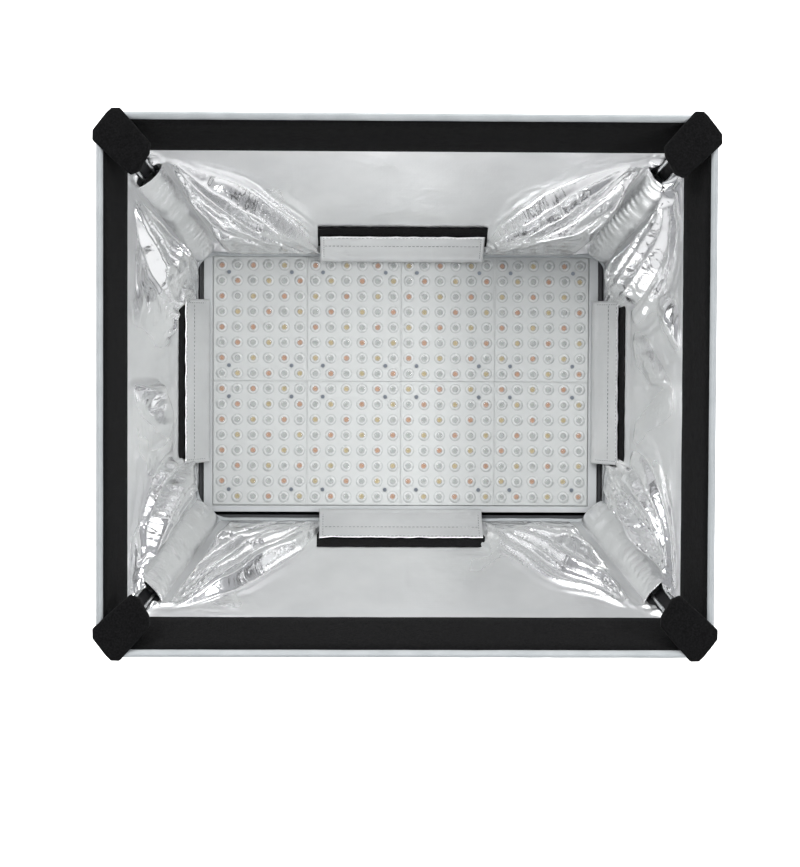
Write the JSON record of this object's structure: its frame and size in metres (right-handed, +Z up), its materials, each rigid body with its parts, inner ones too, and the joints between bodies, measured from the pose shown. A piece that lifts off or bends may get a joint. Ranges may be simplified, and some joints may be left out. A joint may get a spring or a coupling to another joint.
{
  "type": "softbox with LED panel head",
  "caption": "Rectangular softbox with silver lining on an LED panel head, held in a tilting yoke with a stand socket.",
  "frame": {"origin": "centre of the stand socket's mouth at the underside of the receiver", "axes": "+Z up, out of the stand's stud; -Y the direction of the light beam; +X to the right seen from the front"},
  "size_m": [0.498, 0.2895, 0.459],
  "materials": {
    "yoke_paint": "satin black powder coat",
    "black_plastic": "fine matt texture",
    "steel": "zinc plated",
    "housing_paint": "dark grey satin paint over aluminium",
    "bezel_plastic": "pale grey moulded",
    "board": "white solder mask",
    "phosphor": "yellow phosphor",
    "colour_led": "clear encapsulant",
    "clear_plastic": "clear moulded acrylic",
    "aluminium": "anodised",
    "display_glass": "dark glossy window",
    "loop_fabric": "brushed loop pile",
    "hem_fabric": "woven binding",
    "black_fabric": "coated woven nylon",
    "silver_fabric": "crinkled metallised fabric, satin",
    "spring_steel": "bright drawn wire",
    "knob_plastic": "soft-touch",
    "rocker_plastic": "glossy moulded",
    "brass": "turned"
  },
  "bodies": {
    "bracket": {"yoke": "yoke_paint", "friction_washers": "black_plastic", "knob_washers": "steel", "stand_receiver": "yoke_paint", "receiver_bolt": "steel"},
    "head": {"housing_frame": "housing_paint", "rear_cover": "housing_paint", "front_bezel": "bezel_plastic", "led_board": "board", "phosphor_leds": "phosphor", "colour_leds": "colour_led", "lens_plates": "clear_plastic", "lens_screws": "steel", "heat_sink": "aluminium", "driver_board": "board", "driver_components": "black_plastic", "fan_frame": "black_plastic", "control_panel": "black_plastic", "display_window": "display_glass", "power_socket": "black_plastic", "case_screws": "steel", "trunnions": "aluminium", "shell_wall_top": "black_fabric", "lining_wall_top": "silver_fabric", "shell_wall_right": "black_fabric", "lining_wall_right": "silver_fabric", "shell_wall_bottom": "black_fabric", "lining_wall_bottom": "silver_fabric", "shell_wall_left": "black_fabric", "lining_wall_left": "silver_fabric", "loop_tapes": "loop_fabric", "flap_loop_strips": "loop_fabric", "front_hem": "hem_fabric", "corner_pockets": "loop_fabric", "corner_struts": "spring_steel", "strut_sleeves": "silver_fabric", "strut_feet": "black_plastic", "rear_skirt": "black_fabric", "flap_roots": "silver_fabric"},
    "tilt_knob_left": {"tilt_knob_left": "knob_plastic"},
    "tilt_knob_right": {"tilt_knob_right": "knob_plastic"},
    "clamp_shoe": {"clamp_shoe": "brass"},
    "lock_screw": {"lock_screw": "steel"},
    "brightness_knob": {"brightness_knob": "knob_plastic"},
    "colour_knob": {"colour_knob": "knob_plastic"},
    "power_rocker": {"power_rocker": "rocker_plastic"},
    "fan_rotor": {"fan_rotor": "black_plastic"},
    "flap_top": {"mount_flap_top": "silver_fabric", "hook_strip_top": "loop_fabric"},
    "flap_right": {"mount_flap_right": "silver_fabric", "hook_strip_right": "loop_fabric"},
    "flap_bottom": {"mount_flap_bottom": "silver_fabric", "hook_strip_bottom": "loop_fabric"},
    "flap_left": {"mount_flap_left": "silver_fabric", "hook_strip_left": "loop_fabric"}
  },
  "joints": [
    {"name": "head_tilt", "type": "hinge", "parent": "bracket", "child": "head", "pos_m": [0, 0, 0.24], "axis": [-1, 0, 0], "range_deg": [-20, 90]},
    {"name": "tilt_knob_left_turn", "type": "hinge", "parent": "head", "child": "tilt_knob_left", "pos_m": [-0.2, 0, 0.24], "axis": [-1, 0, 0], "range_deg": [0, 360]},
    {"name": "tilt_knob_right_turn", "type": "hinge", "parent": "head", "child": "tilt_knob_right", "pos_m": [0.2, 0, 0.24], "axis": [1, 0, 0], "range_deg": [0, 360]},
    {"name": "clamp_travel", "type": "slide", "parent": "bracket", "child": "clamp_shoe", "axis": [0, -1, 0], "range_m": [0, 0.0018]},
    {"name": "lock_screw_turn", "type": "hinge", "parent": "clamp_shoe", "child": "lock_screw", "pos_m": [0, 0.03, 0.028], "axis": [0, -1, 0], "range_deg": [0, 500]},
    {"name": "flap_top_fold", "type": "hinge", "parent": "head", "child": "flap_top", "pos_m": [0, -0.0464, 0.343], "axis": [1, 0, 0], "range_deg": [0, 110]},
    {"name": "flap_right_fold", "type": "hinge", "parent": "head", "child": "flap_right", "pos_m": [0.165, -0.0464, 0.24], "axis": [0, 0, -1], "range_deg": [0, 110]},
    {"name": "flap_bottom_fold", "type": "hinge", "parent": "head", "child": "flap_bottom", "pos_m": [0, -0.0464, 0.1295], "axis": [-1, 0, 0], "range_deg": [0, 110]},
    {"name": "flap_left_fold", "type": "hinge", "parent": "head", "child": "flap_left", "pos_m": [-0.165, -0.0464, 0.24], "axis": [0, 0, 1], "range_deg": [0, 110]},
    {"name": "brightness_turn", "type": "hinge", "parent": "head", "child": "brightness_knob", "pos_m": [0.026, 0.035, 0.164], "axis": [0, 1, 0], "continuous": true},
    {"name": "colour_turn", "type": "hinge", "parent": "head", "child": "colour_knob", "pos_m": [0.054, 0.035, 0.164], "axis": [0, 1, 0], "continuous": true},
    {"name": "power_rock", "type": "hinge", "parent": "head", "child": "power_rocker", "pos_m": [-0.078, 0.031, 0.164], "axis": [1, 0, 0], "range_deg": [0, 12]},
    {"name": "fan_spin", "type": "hinge", "parent": "head", "child": "fan_rotor", "pos_m": [0, 0.008, 0.282], "axis": [0, 1, 0], "continuous": true}
  ],
  "couplings": [
    {"joint": "clamp_travel", "follows": "lock_screw_turn", "m_per_rad": 0.00019894}
  ]
}
